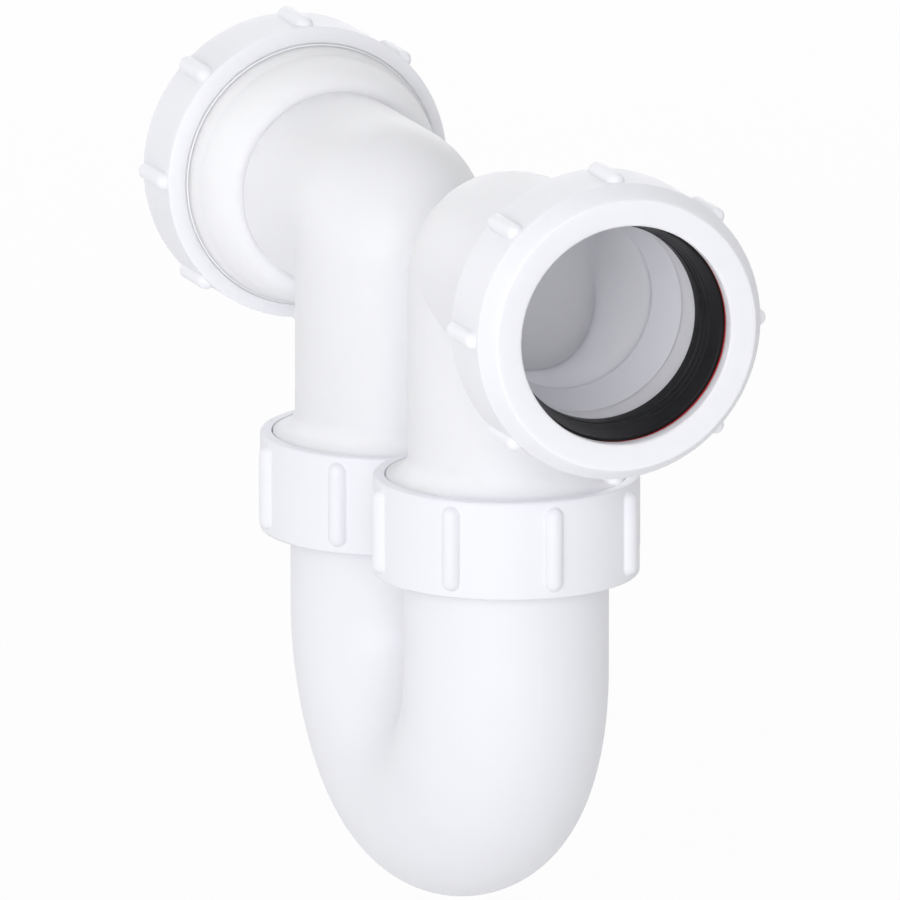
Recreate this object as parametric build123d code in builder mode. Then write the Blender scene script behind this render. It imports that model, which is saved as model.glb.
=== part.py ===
"""Tubular running trap for a 43 mm waste pipe: a U-bend with a swivel elbow on each limb.

Each elbow carries a compression socket (nut, slip washer and rubber seal) and is held to
its limb by a union nut. Millimetres, +Z up. The origin is on the inlet socket's axis at
its pipe stop, and +X points out of the inlet.
"""

import os

from build123d import *

# Layout, from the socket axis and the limb axis of each elbow
LIMB_SPACING = 70.0
LIMB_FALL = 5.7
BEND_DROP = 89.85
UNION_DROP = 46.3
STOP_REACH = 37.9
FACE_REACH = 72.9

# Tubes
TUBE_RADIUS = 21.25
TUBE_BORE = 19.2
CORNER_RADIUS = 5.0
BEND_RADIUS = 22.25
BEND_BORE = 19.85

# Clearances
THREAD_GAP = 0.3
SWIVEL_GAP = 0.3
FACE_GAP = 0.1
PIPE_GAP = 0.25
SEAL_PIPE_GAP = 0.15

# Compression socket
PIPE_RADIUS = 21.5
SEAT_LENGTH = 5.5
SPIGOT_THREAD = 28.9
SPIGOT_RIM = 1.7
SHOULDER_SETBACK = 1.7
SHOULDER_LENGTH = 10.5
SHOULDER_STEP = 0.35
COLLAR_RADIUS = 27.5
COLLAR_TAPER = 3.8

# Pipe nut
NUT_LENGTH = 22.4
NUT_WALL = 3.3
NUT_LIP = 3.1
NUT_OPENING = 24.0
NUT_FACE_BEVEL = 4.5
NUT_FACE_STEP = 2.8
NUT_REAR_BEVEL = 2.1
NUT_REAR_LAND = 0.5
NUT_RIB_RADIUS = 1.95
NUT_RIB_SETBACK = 0.5
NUT_RIB_FILLET = 0.3
NUT_EDGE_ROUND = 0.4

# Slip washer and pipe seal
SLIP_THICKNESS = 1.0
SLIP_BORE = 23.6
SLIP_EDGE_GAP = 0.4
SEAL_MOUTH = 23.45
SEAL_FLANGE = 3.5
SEAL_FLANGE_EDGE = 0.9
GROOVE_SPACING = 1.0
GROOVE_SETBACK = 1.6
FINE_GROOVE = 0.3
DEEP_GROOVE = 0.7

# Union joint
UNION_THREAD = 27.0
UNION_HEIGHT = 21.6
UNION_WALL = 1.6
UNION_LIP = 2.6
UNION_OVERLAP = 0.6
UNION_RIB_RADIUS = 2.0
UNION_RIB_TOP = 1.3
UNION_RIB_FOOT = 1.7
UNION_RIB_FILLET = 0.4
UNION_EDGE_ROUND = 0.6
FLANGE_THICKNESS = 3.0
UNION_WASHER_THICKNESS = 1.9
UNION_WASHER_EDGE = 0.4
UNION_WASHER_BORE_EDGE = 1.0
LIMB_THREAD_LENGTH = 10.5
LIMB_SHOULDER = 2.7
LIMB_RIM = 2.8
LIMB_CUP_DEPTH = 9.0
LIMB_CUP_TAPER = 4.2

RIB_COUNT = 8
RIB_HALF_STEP = 360 / RIB_COUNT / 2

# Reaches along the socket axis, from the limb axis: the nut's face sets those of the stack
# that it clamps, and the pipe stop those of the shoulder
nut_rear = FACE_REACH - NUT_LENGTH
lip_reach = FACE_REACH - NUT_LIP
slip_rear = lip_reach - FACE_GAP - SLIP_THICKNESS
seal_front = slip_rear - FACE_GAP
flange_rear = seal_front - SEAL_FLANGE
spigot_reach = flange_rear - FACE_GAP
seat_reach = spigot_reach - SEAT_LENGTH
shoulder_reach = STOP_REACH - SHOULDER_SETBACK
collar_reach = shoulder_reach + SHOULDER_LENGTH
thread_reach = collar_reach + COLLAR_TAPER

# Radii about the socket axis
socket_radius = PIPE_RADIUS + PIPE_GAP
seat_mouth = SPIGOT_THREAD - SPIGOT_RIM
nut_bore = SPIGOT_THREAD + THREAD_GAP
nut_radius = nut_bore + NUT_WALL
seal_bore = PIPE_RADIUS + SEAL_PIPE_GAP

# Heights along the limb axis, from the socket axis
union_top = -UNION_DROP
union_foot = union_top - UNION_HEIGHT
flange_top = union_top - UNION_LIP - FACE_GAP
flange_foot = flange_top - FLANGE_THICKNESS
washer_top = flange_foot - FACE_GAP
limb_top = washer_top - UNION_WASHER_THICKNESS

# Radii about the limb axis
union_bore = UNION_THREAD + THREAD_GAP
union_radius = union_bore + UNION_WALL
union_hole = UNION_THREAD - UNION_OVERLAP
hub_radius = union_hole - SWIVEL_GAP

# The two stations: the outlet elbow faces the other way and sits lower
inlet_x = -STOP_REACH
outlet_x = inlet_x - LIMB_SPACING
INLET = Location((inlet_x, 0, 0))
OUTLET = Location((outlet_x, 0, -LIMB_FALL), (0, 0, 180))


def bent_tube(radius, mode):
    """A limb and an arm of one radius, joined by a tight bend with a mitred inner corner."""
    with BuildSketch(Plane.XY.offset(-CORNER_RADIUS)) as limb_circle:
        Circle(radius)
    extrude(limb_circle.sketch, amount=flange_foot + CORNER_RADIUS, mode=mode)
    with BuildSketch(Plane.YZ.offset(CORNER_RADIUS)) as arm_circle:
        Circle(radius)
    extrude(arm_circle.sketch, amount=STOP_REACH - CORNER_RADIUS, mode=mode)
    with BuildSketch(Plane.XY.offset(-CORNER_RADIUS)) as outer_half:
        Circle(radius)
        with Locations((CORNER_RADIUS, 0)):
            Rectangle(radius, 2 * radius, align=(Align.MIN, Align.CENTER), mode=Mode.SUBTRACT)
    corner = Axis((CORNER_RADIUS, 0, -CORNER_RADIUS), (0, 1, 0))
    revolve(outer_half.sketch, axis=corner, revolution_arc=90, mode=mode)


def swivel_elbow():
    """Elbow with a flanged foot for the union nut and a threaded compression socket."""
    hub_round = hub_radius - TUBE_RADIUS
    shoulder_radius = TUBE_RADIUS + SHOULDER_STEP
    shoulder_rise = COLLAR_RADIUS - shoulder_radius
    with BuildPart() as elbow:
        bent_tube(TUBE_RADIUS, Mode.ADD)
        with BuildSketch(Plane.XZ):
            with BuildLine():
                Polyline(
                    (0, union_top + hub_round),
                    (0, flange_foot),
                    (UNION_THREAD, flange_foot),
                    (UNION_THREAD, flange_top),
                    (hub_radius, flange_top),
                    (hub_radius, union_top),
                )
                RadiusArc((hub_radius, union_top), (TUBE_RADIUS, union_top + hub_round), hub_round)
                Line((TUBE_RADIUS, union_top + hub_round), (0, union_top + hub_round))
            make_face()
        revolve(axis=Axis.Z)
        with BuildSketch(Plane.XZ):
            with BuildLine():
                EllipticalCenterArc(
                    (collar_reach, shoulder_radius), SHOULDER_LENGTH, shoulder_rise, 90, arc_size=90
                )
                Polyline(
                    (shoulder_reach, shoulder_radius),
                    (shoulder_reach, 0),
                    (spigot_reach, 0),
                    (spigot_reach, SPIGOT_THREAD),
                    (thread_reach, SPIGOT_THREAD),
                    (collar_reach, COLLAR_RADIUS),
                )
            make_face()
        revolve(axis=Axis.X)
        bent_tube(TUBE_BORE, Mode.SUBTRACT)
        with BuildSketch(Plane.XZ):
            with BuildLine():
                Polyline(
                    (STOP_REACH, 0),
                    (STOP_REACH, socket_radius),
                    (seat_reach, socket_radius),
                    (spigot_reach, seat_mouth),
                    (spigot_reach, 0),
                    close=True,
                )
            make_face()
        revolve(axis=Axis.X, mode=Mode.SUBTRACT)
    return elbow.part


def rib_feet(nut):
    """Edges where the ribs of a nut meet its round side."""
    side = nut.faces().filter_by(GeomType.CYLINDER).sort_by(SortBy.AREA)[-1]
    return [edge for outline in side.inner_wires() for edge in outline.edges()]


def pipe_nut():
    """Ribbed nut that presses the slip washer and the seal onto the pipe."""
    side_rear = nut_rear + NUT_REAR_BEVEL
    side_front = FACE_REACH - NUT_FACE_BEVEL
    rib_inset = NUT_RIB_SETBACK + NUT_RIB_RADIUS
    rib_tail = side_rear + rib_inset
    rib_nose = side_front - rib_inset
    # The section is turned so that the seam of the revolve falls between two ribs
    with BuildPart() as nut:
        with BuildSketch(Plane.XZ.rotated((RIB_HALF_STEP, 0, 0))) as section:
            with BuildLine():
                Polyline(
                    (nut_rear, 0),
                    (nut_rear, nut_bore + NUT_REAR_LAND),
                    (side_rear, nut_radius),
                    (side_front, nut_radius),
                    (FACE_REACH, nut_radius - NUT_FACE_STEP),
                    (FACE_REACH, 0),
                    close=True,
                )
            make_face()
            rim_corners = section.vertices().group_by(Axis.Y)[1:]
            fillet([corner for level in rim_corners for corner in level], NUT_EDGE_ROUND)
        revolve(axis=Axis.X)
        with BuildSketch(Plane.YZ.offset(rib_tail)):
            with PolarLocations(nut_radius, RIB_COUNT):
                Circle(NUT_RIB_RADIUS)
        extrude(amount=rib_nose - rib_tail)
        for rib_end in (rib_tail, rib_nose):
            with Locations(Plane.YZ.offset(rib_end)):
                with PolarLocations(nut_radius, RIB_COUNT):
                    Sphere(NUT_RIB_RADIUS)
        fillet(rib_feet(nut), NUT_RIB_FILLET)
        with BuildSketch(Plane.YZ.offset(nut_rear)):
            Circle(nut_bore)
        extrude(amount=NUT_LENGTH - NUT_LIP, mode=Mode.SUBTRACT)
        with BuildSketch(Plane.YZ.offset(lip_reach)):
            Circle(NUT_OPENING)
        extrude(amount=NUT_LIP, mode=Mode.SUBTRACT)
        mouth = nut.edges().group_by(Axis.X)[-1].sort_by(SortBy.RADIUS)[0]
        fillet(mouth, NUT_EDGE_ROUND)
    return nut.part


def slip_washer():
    """Thin flat ring that lets the nut turn without dragging the seal."""
    with BuildPart() as washer:
        with BuildSketch(Plane.YZ.offset(slip_rear)):
            Circle(nut_bore - SLIP_EDGE_GAP)
            Circle(SLIP_BORE, mode=Mode.SUBTRACT)
        extrude(amount=SLIP_THICKNESS)
    return washer.part


def pipe_seal():
    """Tapered rubber ring: a flange on the spigot's rim and a cone in its seat."""
    seat_slope = (seat_mouth - socket_radius) / (spigot_reach - seat_reach)
    cone_shift = SWIVEL_GAP * (1 + seat_slope**2) ** 0.5
    cone_mouth = seat_mouth - cone_shift + FACE_GAP * seat_slope
    seal_rear = seat_reach + 2 * cone_shift / seat_slope
    cone_end = socket_radius + cone_shift
    bore_slope = (SEAL_MOUTH - seal_bore) / (seal_front - seal_rear)
    with BuildPart() as seal:
        with BuildSketch(Plane.XZ):
            with BuildLine():
                Polyline(
                    (seal_front, SEAL_MOUTH),
                    (seal_front, SPIGOT_THREAD - SEAL_FLANGE_EDGE),
                    (flange_rear, SPIGOT_THREAD - SEAL_FLANGE_EDGE),
                    (flange_rear, cone_mouth),
                    (seal_rear, cone_end),
                    (seal_rear, seal_bore),
                    close=True,
                )
            make_face()
            for step, depth in enumerate((FINE_GROOVE, FINE_GROOVE, DEEP_GROOVE)):
                groove_reach = seal_front - GROOVE_SETBACK - step * GROOVE_SPACING
                groove_radius = seal_bore + bore_slope * (groove_reach - seal_rear)
                with Locations((groove_reach, groove_radius)):
                    RegularPolygon(depth, 4, mode=Mode.SUBTRACT)
        revolve(axis=Axis.X)
    return seal.part


def union_nut():
    """Ribbed nut that holds an elbow's flange down on its limb."""
    rib_top = union_top - UNION_RIB_TOP - UNION_RIB_RADIUS
    rib_foot = union_foot + UNION_RIB_FOOT + UNION_RIB_RADIUS
    with BuildPart() as nut:
        with BuildSketch(Plane.XY.offset(union_foot)):
            with PolarLocations(0, 1, start_angle=RIB_HALF_STEP):
                Circle(union_radius)
        extrude(amount=UNION_HEIGHT)
        fillet(nut.edges().filter_by(GeomType.CIRCLE), UNION_EDGE_ROUND)
        with BuildSketch(Plane.XY.offset(rib_foot)):
            with PolarLocations(union_radius, RIB_COUNT):
                Circle(UNION_RIB_RADIUS)
        extrude(amount=rib_top - rib_foot)
        for rib_end in (rib_foot, rib_top):
            with Locations(Plane.XY.offset(rib_end)):
                with PolarLocations(union_radius, RIB_COUNT):
                    Sphere(UNION_RIB_RADIUS)
        fillet(rib_feet(nut), UNION_RIB_FILLET)
        with BuildSketch(Plane.XY.offset(union_foot)):
            Circle(union_bore)
        extrude(amount=UNION_HEIGHT - UNION_LIP, mode=Mode.SUBTRACT)
        with BuildSketch(Plane.XY.offset(union_top)):
            Circle(union_hole)
        extrude(amount=-UNION_LIP, mode=Mode.SUBTRACT)
    return nut.part


def union_washer():
    """Flat rubber ring between an elbow's flange and the rim of its limb."""
    with BuildPart() as washer:
        with BuildSketch(Plane.XY.offset(limb_top)):
            Circle(UNION_THREAD - UNION_WASHER_EDGE)
            Circle(BEND_BORE + UNION_WASHER_BORE_EDGE, mode=Mode.SUBTRACT)
        extrude(amount=UNION_WASHER_THICKNESS)
    return washer.part


def limb_section(limb_x, top, foot, hollow):
    """Half section of a limb, solid or of its bore, with the cupped and threaded top."""
    if hollow:
        end_radius, tube_radius = UNION_THREAD - LIMB_RIM, BEND_BORE
        straight, taper = LIMB_CUP_DEPTH, LIMB_CUP_TAPER
    else:
        end_radius, tube_radius = UNION_THREAD, BEND_RADIUS
        straight, taper = LIMB_THREAD_LENGTH, LIMB_SHOULDER
    with BuildSketch(Plane.XZ) as section:
        with BuildLine():
            Polyline(
                (limb_x, top),
                (limb_x + end_radius, top),
                (limb_x + end_radius, top - straight),
                (limb_x + tube_radius, top - straight - taper),
                (limb_x + tube_radius, foot),
                (limb_x, foot),
                close=True,
            )
        make_face()
    return section.sketch


bend_x = (inlet_x + outlet_x) / 2
limbs = ((inlet_x, limb_top), (outlet_x, limb_top - LIMB_FALL))

with BuildPart() as u_bend:
    for hollow, bore_mode in ((False, Mode.ADD), (True, Mode.SUBTRACT)):
        for limb_x, top in limbs:
            section = limb_section(limb_x, top, -BEND_DROP, hollow)
            revolve(section, axis=Axis((limb_x, 0, 0), (0, 0, 1)), mode=bore_mode)
        with BuildSketch(Plane.XY.offset(-BEND_DROP)) as tube_section:
            with Locations((inlet_x, 0)):
                Circle(BEND_BORE if hollow else BEND_RADIUS)
        bend_axis = Axis((bend_x, 0, -BEND_DROP), (0, 1, 0))
        revolve(tube_section.sketch, axis=bend_axis, revolution_arc=180, mode=bore_mode)

pieces = {
    "elbow": swivel_elbow(),
    "pipe_nut": pipe_nut(),
    "slip_washer": slip_washer(),
    "pipe_seal": pipe_seal(),
    "union_nut": union_nut(),
    "union_washer": union_washer(),
}

os.makedirs("parts", exist_ok=True)
u_bend.part.label = "u_bend"
export_step(u_bend.part, "parts/u_bend.step")
for end, station in (("inlet", INLET), ("outlet", OUTLET)):
    for name, piece in pieces.items():
        placed = piece.moved(station)
        placed.label = f"{end}_{name}"
        export_step(placed, f"parts/{end}_{name}.step")
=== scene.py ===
"""Studio picture of the running trap: moulded white plastic over a white floor, in soft light.

Sizes are in metres, in the row frame: the origin is on the inlet socket's axis at its pipe
stop, +X points out of the inlet and +Z is up. Only the sockets' own pieces are written in
millimetres, and socket_point() turns them into metres.
"""

import math

import bmesh
import bpy
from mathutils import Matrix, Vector


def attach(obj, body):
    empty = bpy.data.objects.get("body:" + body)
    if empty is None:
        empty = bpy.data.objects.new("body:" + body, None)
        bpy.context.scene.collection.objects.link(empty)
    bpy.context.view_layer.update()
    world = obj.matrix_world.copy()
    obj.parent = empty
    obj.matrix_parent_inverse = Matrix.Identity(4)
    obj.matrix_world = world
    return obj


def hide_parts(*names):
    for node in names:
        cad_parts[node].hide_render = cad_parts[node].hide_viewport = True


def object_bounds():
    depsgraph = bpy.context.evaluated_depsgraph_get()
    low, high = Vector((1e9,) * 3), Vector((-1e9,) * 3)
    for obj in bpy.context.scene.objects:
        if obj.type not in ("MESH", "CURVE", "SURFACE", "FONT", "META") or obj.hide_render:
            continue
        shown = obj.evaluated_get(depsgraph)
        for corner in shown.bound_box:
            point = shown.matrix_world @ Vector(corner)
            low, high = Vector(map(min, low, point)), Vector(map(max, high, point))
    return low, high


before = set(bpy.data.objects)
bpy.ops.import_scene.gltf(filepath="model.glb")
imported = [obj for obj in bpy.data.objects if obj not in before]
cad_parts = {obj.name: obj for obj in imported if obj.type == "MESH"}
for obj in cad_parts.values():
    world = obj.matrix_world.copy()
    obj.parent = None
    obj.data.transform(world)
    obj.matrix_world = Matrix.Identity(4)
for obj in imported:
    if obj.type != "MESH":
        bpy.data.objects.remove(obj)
cad_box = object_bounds()

MM = 0.001
WHITE = (1, 1, 1, 1)

# Camera: the photograph is close to a parallel view, so the lens is very long
VIEW_AZIMUTH = math.radians(69.35)
VIEW_ELEVATION = math.radians(13.23)
VIEW_TARGET = Vector((-72.84, 0.17, -48.9)) * MM
VIEW_DISTANCE = 8.954
VIEW_LENS = 1650
VIEW_CLIP = 30

# Stage: the trap hangs in its pipe run, so the floor is some way below the bend.
# The whiteness is the share of its own white that the camera and reflections see.
FLOOR_GAP = 60 * MM
FLOOR_SIZE = 6
FLOOR_COLOUR = (0.93, 0.93, 0.93, 1)
FLOOR_WHITENESS = 0.93

# Lamps: name, azimuth and elevation in degrees, size in metres, power in watts
LAMPS = (
    ("key", 66, 12, 0.85, 12.8),
    ("side", 44, 6, 1.0, 4.4),
    ("flank", 5, 12, 1.5, 1.7),
    ("left", -45, 20, 1.5, 5.0),
    ("top", 69, 85, 1.5, 2.2),
    ("back", 249, 20, 1.5, 7.5),
)
LAMP_DISTANCE = 2.0

# World: its strength as light on the trap and as the backdrop that is seen
LIGHT_COLOUR = (0.972, 0.974, 1.0)
AMBIENT = 0.57
BACKDROP = 1.0
DIFFUSE_BOUNCES = 6

# Noise of every material: clouds in colour and roughness, grain, and a slow wave.
# Most of a noise lies between its low and high, so spread() maps that part of it.
CLOUD_SIZE = 9 * MM
CLOUD_DETAIL = 3
GRAIN_DETAIL = 2
WAVE_SIZE = 14 * MM
WAVE_DETAIL = 1
NOISE_LOW = 0.3
NOISE_HIGH = 0.7

# Places of the colour sockets on a Mix node, which share their names with other sockets
MIX_FIRST = 6
MIX_SECOND = 7
MIX_RESULT = 2

PLASTIC_PALE = (0.884, 0.888, 0.92)
PLASTIC_SHADE = (0.876, 0.88, 0.912)
PLASTIC_SURFACE = {
    "roughness": (0.42, 0.5), "specular": 0.35, "grain": 0.5 * MM,
    "grain_depth": 0.003 * MM, "wave_depth": 0.008 * MM,
}
# White finishes: name, how far light goes into it, and a factor of painted light and shade on
# its colour that evens out their brightness: the plain one, which light doesn't enter, is
# painted darker, the elbows' is painted lighter and bluer
PLASTIC_FINISHES = (
    ("white_elbow", 4 * MM, (1.055, 1.056, 1.072)),
    ("white_nut", 2 * MM, (1.0, 0.998, 0.988)),
    ("white_plain", 0, (0.965, 0.963, 0.951)),
)
RUBBER_DARK = (0.004, 0.004, 0.005, 1)
RUBBER_WORN = (0.011, 0.011, 0.012, 1)
RUBBER_SURFACE = {
    "roughness": (0.38, 0.5), "specular": 0.22, "grain": 0.25 * MM,
    "grain_depth": 0.01 * MM, "wave_depth": 0.02 * MM,
}
RED_DEEP = (0.62, 0.015, 0.015, 1)
RED_PALE = (0.75, 0.04, 0.035, 1)
RED_SURFACE = {
    "roughness": (0.4, 0.5), "specular": 0.45, "grain": 0.3 * MM,
    "grain_depth": 0.006 * MM, "wave_depth": 0.01 * MM,
}

# Words in a CAD node's name and the finish they stand for; the first that fits counts
NODE_FINISHES = (
    ("seal", "black_rubber"),
    ("union_washer", "black_rubber"),
    ("slip_washer", "red_plastic"),
    ("pipe_nut", "white_nut"),
    ("elbow", "white_elbow"),
)
OTHER_FINISH = "white_plain"

# Sockets, in millimetres from here on: name, the limb's axis, the height of the socket's axis
# and the way it points. A reach is measured from the limb's axis along the socket's.
STATIONS = (("inlet", -37.9, 0, 1), ("outlet", -107.9, -5.7, -1))
TURNS = 192
SHARP_ANGLE = math.radians(32)

# Slip ring: reaches of its faces, radii and the bevel of its edges
SLIP_REAR = 68.7
SLIP_FRONT = 69.7
SLIP_OUTER = 28.8
SLIP_BORE = 24.12
SLIP_BEVEL = 0.2

# Seal, as reaches and radii: a thin lip along the socket's wall, a cone and a flange.
# The grooves, as reaches and depths, run round its bore near the lip.
SEAL_OUTSIDE = (
    (57.4, 21.6), (57.4, 21.7), (59.9, 21.72), (60.35, 22.17), (65.1, 26.87),
    (65.1, 27.7), (65.4, 28.0), (68.4, 28.0), (68.6, 27.8), (68.6, 23.6),
)
SEAL_MOUTH = (68.5, 23.45)
SEAL_LIP_ROOT = (59.8, 21.63)
SEAL_GROOVES = ((63.9, 0.12), (62.3, 0.16), (60.75, 0.32))

# Taper that leads the socket's wall into the bore, as reaches and radii
STOP_TAPER = ((37.9, 19.2), (49.1, 21.7), (49.1, 21.72), (37.9, 21.72))

# Thread of the spigot, in the gap under the nut, and the bead where it runs out.
# The fade is the number of steps over which an end rises from its least share of the height.
THREAD_BEAD = ((50.1, 28.6), (50.45, 29.1), (51.3, 29.14), (51.7, 28.8))
THREAD_START = 51.6
THREAD_END = 64.2
THREAD_PITCH = 3.0
THREAD_ROOT = 28.85
THREAD_CREST = 29.14
THREAD_ROOT_WIDTH = 1.5
THREAD_CREST_WIDTH = 0.7
THREAD_FADE = 24
THREAD_LEAST = 0.05


def direction(azimuth, elevation):
    """Unit vector from the part towards a viewer or lamp; azimuth 0 is on the -Y side."""
    flat = math.cos(elevation)
    return Vector((math.sin(azimuth) * flat, -math.cos(azimuth) * flat, math.sin(elevation)))


def look_at(obj, target, back, distance):
    """Put a camera or lamp off the target and turn it towards it."""
    obj.location = target + back * distance
    obj.rotation_mode = "QUATERNION"
    obj.rotation_quaternion = (-back).to_track_quat("-Z", "Y")


def add_object(name, data):
    obj = bpy.data.objects.new(name, data)
    bpy.context.scene.collection.objects.link(obj)
    return obj


def add_node(tree, kind, **inputs):
    """New shader node with its named sockets set to values or linked to other sockets."""
    node = tree.nodes.new(kind)
    for label, value in inputs.items():
        socket = node.inputs[label.replace("_", " ")]
        if isinstance(value, bpy.types.NodeSocket):
            tree.links.new(value, socket)
        else:
            socket.default_value = value
    return node


def noise(tree, place, size, detail):
    """Noise whose lumps are about size metres across, from 0 to 1."""
    node = add_node(tree, "ShaderNodeTexNoise", Vector=place, Scale=1 / size, Detail=detail)
    return node.outputs["Fac"]


def spread(tree, value, low, high):
    """Map the middle of a noise's range onto low to high."""
    node = add_node(
        tree, "ShaderNodeMapRange", Value=value,
        From_Min=NOISE_LOW, From_Max=NOISE_HIGH, To_Min=low, To_Max=high,
    )
    return node.outputs["Result"]


def blend_colours(tree, factor, first, second):
    node = tree.nodes.new("ShaderNodeMix")
    node.data_type = "RGBA"
    tree.links.new(factor, node.inputs["Factor"])
    node.inputs[MIX_FIRST].default_value = first
    node.inputs[MIX_SECOND].default_value = second
    return node.outputs[MIX_RESULT]


def moulded_material(
    name, first, second, roughness, specular, grain, grain_depth, wave_depth, glow=0
):
    """Moulded plastic or rubber: cloudy colour, uneven gloss, fine grain and a slow wave.

    Light goes about glow metres into the material before it comes out again.
    """
    material = bpy.data.materials.new(name)
    material.use_nodes = True
    tree = material.node_tree
    tree.nodes.clear()
    place = add_node(tree, "ShaderNodeTexCoord").outputs["Object"]
    cloud = noise(tree, place, CLOUD_SIZE, CLOUD_DETAIL)
    fine = noise(tree, place, grain, GRAIN_DETAIL)
    wave = noise(tree, place, WAVE_SIZE, WAVE_DETAIL)
    grain_bump = add_node(
        tree, "ShaderNodeBump", Height=fine, Strength=1.0, Distance=grain_depth
    )
    wave_bump = add_node(
        tree, "ShaderNodeBump", Height=wave, Strength=1.0, Distance=wave_depth,
        Normal=grain_bump.outputs["Normal"],
    )
    shader = add_node(
        tree,
        "ShaderNodeBsdfPrincipled",
        Base_Color=blend_colours(tree, spread(tree, cloud, 0, 1), first, second),
        Roughness=spread(tree, cloud, *roughness),
        Specular_IOR_Level=specular,
        Subsurface_Weight=1.0 if glow else 0.0,
        Subsurface_Radius=(glow, glow, glow),
        Subsurface_Scale=1.0,
        Normal=wave_bump.outputs["Normal"],
    )
    output = tree.nodes.new("ShaderNodeOutputMaterial")
    tree.links.new(shader.outputs["BSDF"], output.inputs["Surface"])
    return material


def bright_rays(tree):
    """1 for rays that show the backdrop: from the camera, or by a reflection or glass."""
    path = tree.nodes.new("ShaderNodeLightPath")
    shown = path.outputs["Is Camera Ray"]
    for ray in ("Is Glossy Ray", "Is Transmission Ray"):
        either = add_node(tree, "ShaderNodeMath", Value=shown)
        either.operation = "MAXIMUM"
        tree.links.new(path.outputs[ray], either.inputs[1])
        shown = either.outputs["Value"]
    return shown


def make_camera():
    data = bpy.data.cameras.new("camera")
    data.lens = VIEW_LENS
    data.clip_end = VIEW_CLIP
    camera = add_object("camera", data)
    look_at(camera, VIEW_TARGET, direction(VIEW_AZIMUTH, VIEW_ELEVATION), VIEW_DISTANCE)
    bpy.context.scene.camera = camera


def make_world():
    """White backdrop that lights the trap at the ambient level."""
    world = bpy.data.worlds.new("studio")
    world.use_nodes = True
    tree = world.node_tree
    tree.nodes.clear()
    seen = bright_rays(tree)
    strength = add_node(
        tree, "ShaderNodeMapRange", Value=seen, To_Min=AMBIENT, To_Max=BACKDROP
    )
    shader = add_node(
        tree,
        "ShaderNodeBackground",
        Color=blend_colours(tree, seen, (*LIGHT_COLOUR, 1), WHITE),
        Strength=strength.outputs["Result"],
    )
    output = tree.nodes.new("ShaderNodeOutputWorld")
    tree.links.new(shader.outputs["Background"], output.inputs["Surface"])
    bpy.context.scene.world = world


def make_floor():
    """Wide white floor; part of its white is its own, so the shadow on it stays light."""
    half = FLOOR_SIZE / 2
    height = cad_box[0].z - FLOOR_GAP
    mesh = bpy.data.meshes.new("floor")
    sides = ((-half, -half), (half, -half), (half, half), (-half, half))
    mesh.from_pydata([(x, y, height) for x, y in sides], [], [(0, 1, 2, 3)])
    floor = add_object("floor", mesh)
    material = bpy.data.materials.new("floor")
    material.use_nodes = True
    tree = material.node_tree
    tree.nodes.clear()
    matte = add_node(tree, "ShaderNodeBsdfDiffuse", Color=FLOOR_COLOUR)
    white = add_node(tree, "ShaderNodeEmission", Color=WHITE, Strength=1.0)
    share = add_node(
        tree, "ShaderNodeMapRange", Value=bright_rays(tree), To_Min=0, To_Max=FLOOR_WHITENESS
    )
    mix = add_node(tree, "ShaderNodeMixShader", Fac=share.outputs["Result"])
    tree.links.new(matte.outputs["BSDF"], mix.inputs[1])
    tree.links.new(white.outputs["Emission"], mix.inputs[2])
    output = tree.nodes.new("ShaderNodeOutputMaterial")
    tree.links.new(mix.outputs["Shader"], output.inputs["Surface"])
    mesh.materials.append(material)


def make_lamps():
    middle = (cad_box[0] + cad_box[1]) / 2
    for name, azimuth, elevation, size, power in LAMPS:
        data = bpy.data.lights.new(name, "AREA")
        data.shape = "DISK"
        data.size = size
        data.energy = power
        data.color = LIGHT_COLOUR
        back = direction(math.radians(azimuth), math.radians(elevation))
        look_at(add_object(name, data), middle, back, LAMP_DISTANCE)


def ring_mesh(name, rows, closed):
    """Mesh from rows of points: each row is joined to the next.

    The last row is joined to the first if closed, and otherwise both are capped.
    """
    across = len(rows[0])
    points = [point for row in rows for point in row]
    steps = len(rows) if closed else len(rows) - 1
    faces = []
    for step in range(steps):
        here = step * across
        there = (step + 1) % len(rows) * across
        for k in range(across):
            after = (k + 1) % across
            faces.append((here + k, here + after, there + after, there + k))
    if not closed:
        faces.append(tuple(reversed(range(across))))
        faces.append(tuple(range(len(points) - across, len(points))))
    mesh = bpy.data.meshes.new(name)
    mesh.from_pydata(points, [], faces)
    mesh.update()
    skin = bmesh.new()
    skin.from_mesh(mesh)
    bmesh.ops.recalc_face_normals(skin, faces=skin.faces)
    skin.to_mesh(mesh)
    skin.free()
    mesh.shade_smooth()
    mesh.set_sharp_from_angle(angle=SHARP_ANGLE)
    return mesh


def socket_point(station, reach, radius, angle):
    """Point at a reach along a station's socket axis and at an angle round it, in metres."""
    _, limb_x, height, way = station
    across = radius * math.cos(angle)
    up = height + radius * math.sin(angle)
    return Vector((limb_x + way * reach, across, up)) * MM


def turned_piece(name, station, profile):
    """Ring with a closed profile of (reach, radius) points round a station's socket axis."""
    rows = []
    for turn in range(TURNS):
        angle = math.tau * turn / TURNS
        rows.append([socket_point(station, reach, radius, angle) for reach, radius in profile])
    return add_object(name, ring_mesh(name, rows, True))


def slip_profile():
    """Flat ring with bevelled edges."""
    near, far = SLIP_REAR + SLIP_BEVEL, SLIP_FRONT - SLIP_BEVEL
    inner, outer = SLIP_BORE + SLIP_BEVEL, SLIP_OUTER - SLIP_BEVEL
    return (
        (near, SLIP_BORE), (far, SLIP_BORE), (SLIP_FRONT, inner), (SLIP_FRONT, outer),
        (far, SLIP_OUTER), (near, SLIP_OUTER), (SLIP_REAR, outer), (SLIP_REAR, inner),
    )


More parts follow.
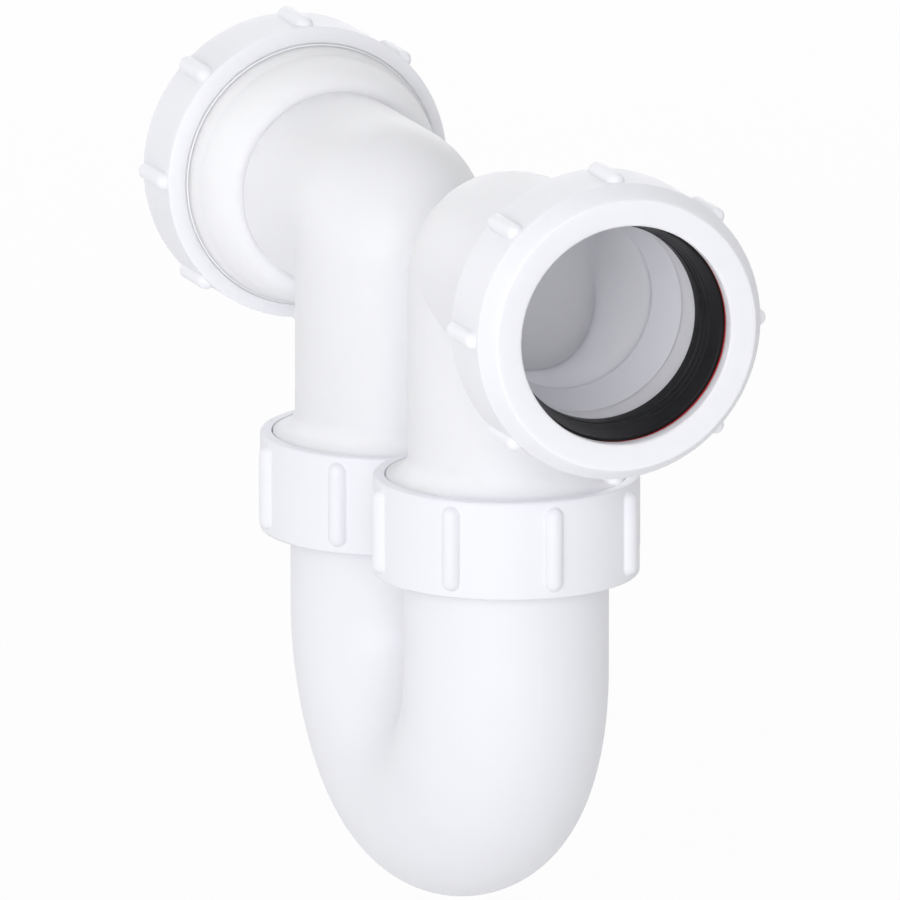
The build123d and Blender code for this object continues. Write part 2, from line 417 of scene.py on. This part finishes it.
def seal_profile():
    """Outside of the seal, then its grooved bore from the mouth back to the lip."""
    mouth_reach, mouth_radius = SEAL_MOUTH
    root_reach, root_radius = SEAL_LIP_ROOT
    slope = (mouth_radius - root_radius) / (mouth_reach - root_reach)
    profile = [*SEAL_OUTSIDE, SEAL_MOUTH]
    for reach, depth in SEAL_GROOVES:
        for place, deeper in ((reach + depth, 0), (reach, depth), (reach - depth, 0)):
            profile.append((place, root_radius + slope * (place - root_reach) + deeper))
    return [*profile, SEAL_LIP_ROOT]


def spigot_thread(name, station):
    """One ridge that winds round the spigot and fades out at both ends."""
    length = THREAD_END - THREAD_START
    steps = round(length / THREAD_PITCH * TURNS)
    rows = []
    for step in range(steps + 1):
        fade = min(1, step / THREAD_FADE, (steps - step) / THREAD_FADE)
        crest = THREAD_ROOT + (THREAD_CREST - THREAD_ROOT) * max(fade, THREAD_LEAST)
        reach = THREAD_START + length * step / steps
        section = (
            (reach - THREAD_ROOT_WIDTH / 2, THREAD_ROOT),
            (reach - THREAD_CREST_WIDTH / 2, crest),
            (reach + THREAD_CREST_WIDTH / 2, crest),
            (reach + THREAD_ROOT_WIDTH / 2, THREAD_ROOT),
        )
        angle = math.tau * step / TURNS
        rows.append([socket_point(station, along, radius, angle) for along, radius in section])
    return add_object(name, ring_mesh(name, rows, False))


# Colour scaled channel by channel by a factor of painted light and shade, with full alpha
def apply_painted_shading(colour, painted_shading):
    return (*(part * share for part, share in zip(colour, painted_shading)), 1)


def make_finishes():
    """Materials by name: the three white plastics, whose colours carry painted light and
    shade, black rubber and red plastic.
    """
    finishes = {
        name: moulded_material(
            name, apply_painted_shading(PLASTIC_PALE, painted_shading), apply_painted_shading(PLASTIC_SHADE, painted_shading),
            **PLASTIC_SURFACE, glow=glow,
        )
        for name, glow, painted_shading in PLASTIC_FINISHES
    }
    finishes["black_rubber"] = moulded_material(
        "black_rubber", RUBBER_DARK, RUBBER_WORN, **RUBBER_SURFACE
    )
    finishes["red_plastic"] = moulded_material(
        "red_plastic", RED_DEEP, RED_PALE, **RED_SURFACE
    )
    return finishes


def dress_nodes(finishes):
    """Give every CAD node its finish."""
    for name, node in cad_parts.items():
        fits = (finish for word, finish in NODE_FINISHES if word in name)
        node.data.materials.clear()
        node.data.materials.append(finishes[next(fits, OTHER_FINISH)])


def add_piece(piece, body, finish):
    piece.data.materials.append(finish)
    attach(piece, body)


def make_sockets(finishes):
    """Slip ring, seal, stop taper and thread of each socket."""
    for station in STATIONS:
        end = station[0]
        slip_ring = turned_piece(f"{end}_slip_ring", station, slip_profile())
        add_piece(slip_ring, f"{end}_slip_washer", finishes["red_plastic"])
        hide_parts(f"{end}_slip_washer")
        seal_ring = turned_piece(f"{end}_seal_ring", station, seal_profile())
        add_piece(seal_ring, f"{end}_elbow", finishes["black_rubber"])
        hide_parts(f"{end}_pipe_seal")
        mouldings = (
            turned_piece(f"{end}_stop_taper", station, STOP_TAPER),
            turned_piece(f"{end}_thread_bead", station, THREAD_BEAD),
            spigot_thread(f"{end}_spigot_thread", station),
        )
        for moulding in mouldings:
            add_piece(moulding, f"{end}_elbow", finishes["white_plain"])


bpy.context.scene.view_settings.view_transform = "Standard"
bpy.context.scene.cycles.diffuse_bounces = DIFFUSE_BOUNCES
make_camera()
make_world()
make_floor()
make_lamps()
all_finishes = make_finishes()
dress_nodes(all_finishes)
make_sockets(all_finishes)
